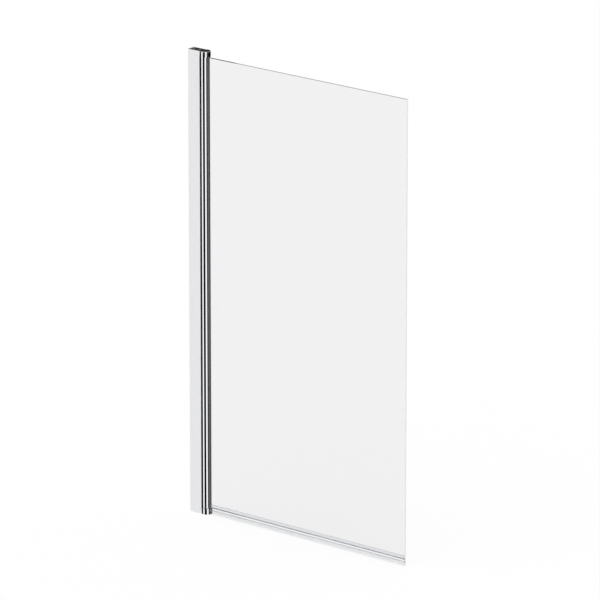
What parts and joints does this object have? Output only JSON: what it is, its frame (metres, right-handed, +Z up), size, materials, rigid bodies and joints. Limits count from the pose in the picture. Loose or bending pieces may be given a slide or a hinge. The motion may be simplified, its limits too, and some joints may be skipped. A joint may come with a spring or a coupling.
{
  "type": "bath screen",
  "caption": "Pivoting over-bath glass screen: a slim wall channel, a sliding hinge post, a round pivot tube and a clear pane with a drip seal below.",
  "frame": {"origin": "on the wall plane, at the screen's mid thickness, at the lower end of the wall channel", "axes": "+X from the wall along the glass to its free edge, +Y through the glass to the side with the clamp screws, +Z up"},
  "size_m": [0.8, 0.0349, 1.4],
  "materials": {
    "bright_aluminium": "bright polished",
    "chrome_cast": "polished chrome plate",
    "chrome_plastic": "plated plastic",
    "steel": "stainless",
    "nylon": "natural nylon",
    "black_rubber": "matt",
    "clear_glass": "clear, polished",
    "clear_vinyl": "clear, glossy"
  },
  "bodies": {
    "wall": {"wall_channel": "bright_aluminium", "clamp_screws": "steel", "clamp_washers": "steel", "clamp_nuts": "steel", "clamp_screw_covers": "chrome_plastic"},
    "post": {"hinge_post": "bright_aluminium", "front_wiper": "black_rubber", "rear_wiper": "black_rubber", "top_cap": "chrome_cast", "bottom_cap": "chrome_cast", "top_cap_screws": "steel", "bottom_cap_screws": "steel", "top_pivot_pin": "steel", "bottom_pivot_pin": "steel", "thrust_washer": "nylon"},
    "leaf": {"pivot_tube": "bright_aluminium", "top_bush": "nylon", "bottom_bush": "nylon", "top_tube_plug": "nylon", "bottom_tube_plug": "nylon", "front_glazing_strip": "black_rubber", "rear_glazing_strip": "black_rubber", "setting_blocks": "nylon", "glass_panel": "clear_glass", "seal_clip": "clear_vinyl", "seal_fin": "clear_vinyl"}
  },
  "joints": [
    {"name": "width_adjust", "type": "slide", "parent": "wall", "child": "post", "axis": [1, 0, 0], "range_m": [0, 0.02]},
    {"name": "leaf_swing", "type": "hinge", "parent": "post", "child": "leaf", "pos_m": [0.0515, 0, 0.7], "axis": [0, 0, 1], "range_deg": [-90, 90]}
  ]
}
